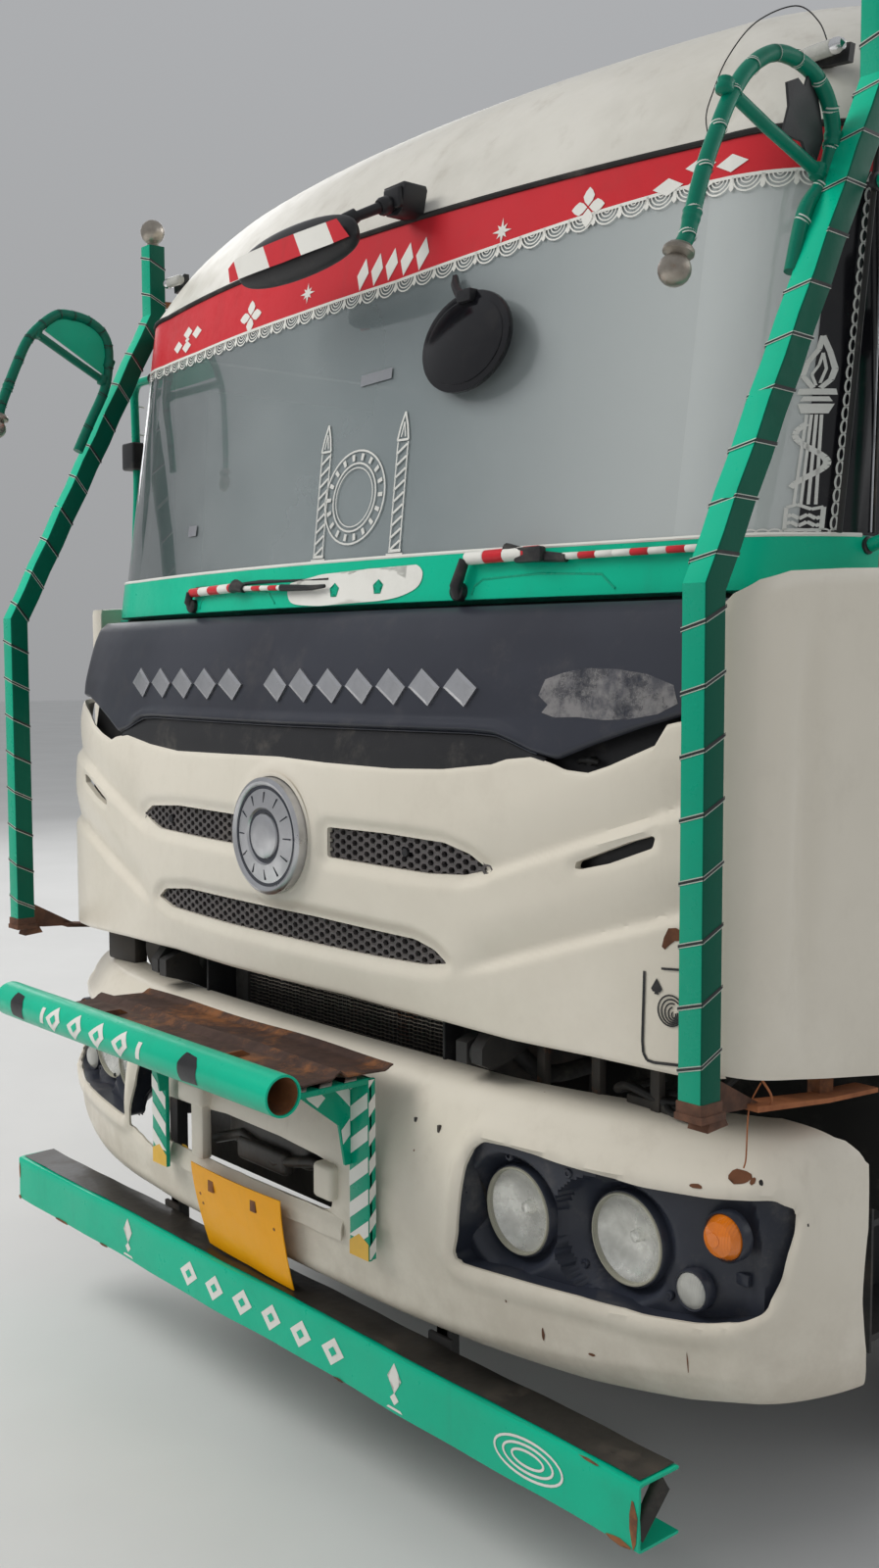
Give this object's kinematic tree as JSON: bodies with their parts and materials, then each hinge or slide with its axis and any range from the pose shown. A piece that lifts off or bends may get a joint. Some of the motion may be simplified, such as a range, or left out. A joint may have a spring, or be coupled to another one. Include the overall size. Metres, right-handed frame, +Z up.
{
  "type": "decorated truck",
  "caption": "Decorated cab-over haulage truck with teal guard posts and canes, tilting cab, front flap, doors and an open drop-side cargo body.",
  "frame": {"origin": "on the ground, midway along the truck and across it", "axes": "+Z up, +X to the truck's own left, -Y forwards"},
  "size_m": [2.6, 9.4094, 2.898],
  "materials": {
    "cream_paint": "slightly worn gloss",
    "teal_paint": "brushed-on gloss enamel with white pinstripes",
    "charcoal_plastic": "satin",
    "black_plastic": "matt",
    "chassis_paint": "dusty black",
    "cast_iron": "oily and dusty",
    "spring_steel": "dark, rusty",
    "wheel_steel": "silver paint, dusty",
    "tyre": "worn tread, dusty",
    "aluminium": "dull fins",
    "lamp_glass": "clear lens over bright reflector",
    "amber": "translucent",
    "red_lens": "translucent",
    "screen_glass": "laminated, faint green tint",
    "silver_badge": "satin chrome",
    "mesh_plastic": "dusty honeycomb",
    "plate_yellow": "blank yellow plate",
    "seat_fabric": "woven",
    "dash_plastic": "grained",
    "body_paint": "worn gloss with bands",
    "floor_steel": "scuffed, rusty",
    "tank_steel": "dusty satin"
  },
  "bodies": {
    "chassis": {"chassis_frame": "chassis_paint", "engine": "cast_iron", "driveline": "cast_iron", "radiator": "aluminium", "front_axle": "cast_iron", "rear_axles": "cast_iron", "leaf_springs": "spring_steel", "bumper": "cream_paint", "headlamp_housings": "black_plastic", "headlamps": "lamp_glass", "bumper_tube": "teal_paint", "number_plate": "plate_yellow", "underrun_bar": "teal_paint", "cab_steps": "chassis_paint", "fuel_tank": "tank_steel", "air_tanks": "tank_steel", "rear_mudguards": "black_plastic", "rear_bumper": "teal_paint", "tail_lamps": "red_lens", "cargo_floor": "floor_steel", "cargo_sides": "body_paint", "cargo_headboard": "body_paint"},
    "cab": {"cab_shell": "cream_paint", "cab_floor": "chassis_paint", "cab_glass": "screen_glass", "corner_panels": "cream_paint", "guard_posts": "teal_paint", "canes": "teal_paint", "wipers": "black_plastic", "front_mirror": "black_plastic", "side_mirrors": "teal_paint", "roof_lamps": "amber", "visor_disc": "black_plastic", "dashboard": "dash_plastic", "seats": "seat_fabric"},
    "front_flap": {"front_panel": "cream_paint", "dark_band": "charcoal_plastic", "grille_mesh": "mesh_plastic", "badge": "silver_badge"},
    "left_door": {"door_left": "cream_paint", "door_glass_left": "screen_glass"},
    "right_door": {"door_right": "cream_paint", "door_glass_right": "screen_glass"},
    "steering": {"steering_wheel": "black_plastic"},
    "left_knuckle": {"knuckle_left": "cast_iron"},
    "right_knuckle": {"knuckle_right": "cast_iron"},
    "tail_gate": {"tailgate": "body_paint"},
    "front_wheel_left": {"front_wheel_left": "wheel_steel", "front_tyre_left": "tyre"},
    "rear_wheels_1_left": {"rear_wheels_1_left": "wheel_steel", "rear_tyres_1_left": "tyre"},
    "rear_wheels_2_left": {"rear_wheels_2_left": "wheel_steel", "rear_tyres_2_left": "tyre"},
    "front_wheel_right": {"front_wheel_right": "wheel_steel", "front_tyre_right": "tyre"},
    "rear_wheels_1_right": {"rear_wheels_1_right": "wheel_steel", "rear_tyres_1_right": "tyre"},
    "rear_wheels_2_right": {"rear_wheels_2_right": "wheel_steel", "rear_tyres_2_right": "tyre"}
  },
  "joints": [
    {"name": "cab_tilt", "type": "hinge", "parent": "chassis", "child": "cab", "pos_m": [0, -4.24725, 0.935], "axis": [1, 0, 0], "range_deg": [0, 45]},
    {"name": "front_flap_hinge", "type": "hinge", "parent": "cab", "child": "front_flap", "pos_m": [0, -4.23125, 1.766], "axis": [-1, 0, 0], "range_deg": [0, 70]},
    {"name": "left_door_hinge", "type": "hinge", "parent": "cab", "child": "left_door", "pos_m": [1.152, -3.87325, 1.8], "axis": [0, 0, -1], "range_deg": [0, 70]},
    {"name": "right_door_hinge", "type": "hinge", "parent": "cab", "child": "right_door", "pos_m": [-1.152, -3.87325, 1.8], "axis": [0, 0, 1], "range_deg": [0, 70]},
    {"name": "kingpin_right", "type": "hinge", "parent": "chassis", "child": "right_knuckle", "pos_m": [-0.83, -2.93725, 0.527], "axis": [0, 0, 1], "range_deg": [-36, 36]},
    {"name": "kingpin_left", "type": "hinge", "parent": "chassis", "child": "left_knuckle", "pos_m": [0.83, -2.93725, 0.527], "axis": [0, 0, 1], "range_deg": [-36, 36]},
    {"name": "steering_wheel_turn", "type": "hinge", "parent": "cab", "child": "steering", "pos_m": [-0.56, -3.49725, 1.8], "axis": [0, 0.5501, 0.8351], "range_deg": [-650, 650]},
    {"name": "tailgate_hinge", "type": "hinge", "parent": "chassis", "child": "tail_gate", "pos_m": [0, 4.67675, 1.135], "axis": [-1, 0, 0], "range_deg": [0, 90]},
    {"name": "front_wheel_left_spin", "type": "hinge", "parent": "left_knuckle", "child": "front_wheel_left", "pos_m": [0.985, -2.93725, 0.527], "axis": [1, 0, 0], "continuous": true},
    {"name": "rear_wheels_1_left_spin", "type": "hinge", "parent": "chassis", "child": "rear_wheels_1_left", "pos_m": [0.93, 1.36275, 0.527], "axis": [1, 0, 0], "continuous": true},
    {"name": "rear_wheels_2_left_spin", "type": "hinge", "parent": "chassis", "child": "rear_wheels_2_left", "pos_m": [0.93, 2.73275, 0.527], "axis": [1, 0, 0], "continuous": true},
    {"name": "front_wheel_right_spin", "type": "hinge", "parent": "right_knuckle", "child": "front_wheel_right", "pos_m": [-0.985, -2.93725, 0.527], "axis": [1, 0, 0], "continuous": true},
    {"name": "rear_wheels_1_right_spin", "type": "hinge", "parent": "chassis", "child": "rear_wheels_1_right", "pos_m": [-0.93, 1.36275, 0.527], "axis": [1, 0, 0], "continuous": true},
    {"name": "rear_wheels_2_right_spin", "type": "hinge", "parent": "chassis", "child": "rear_wheels_2_right", "pos_m": [-0.93, 2.73275, 0.527], "axis": [1, 0, 0], "continuous": true}
  ],
  "couplings": [
    {"joint": "kingpin_left", "follows": "kingpin_right", "ratio": 1},
    {"joint": "steering_wheel_turn", "follows": "kingpin_right", "ratio": 18}
  ]
}
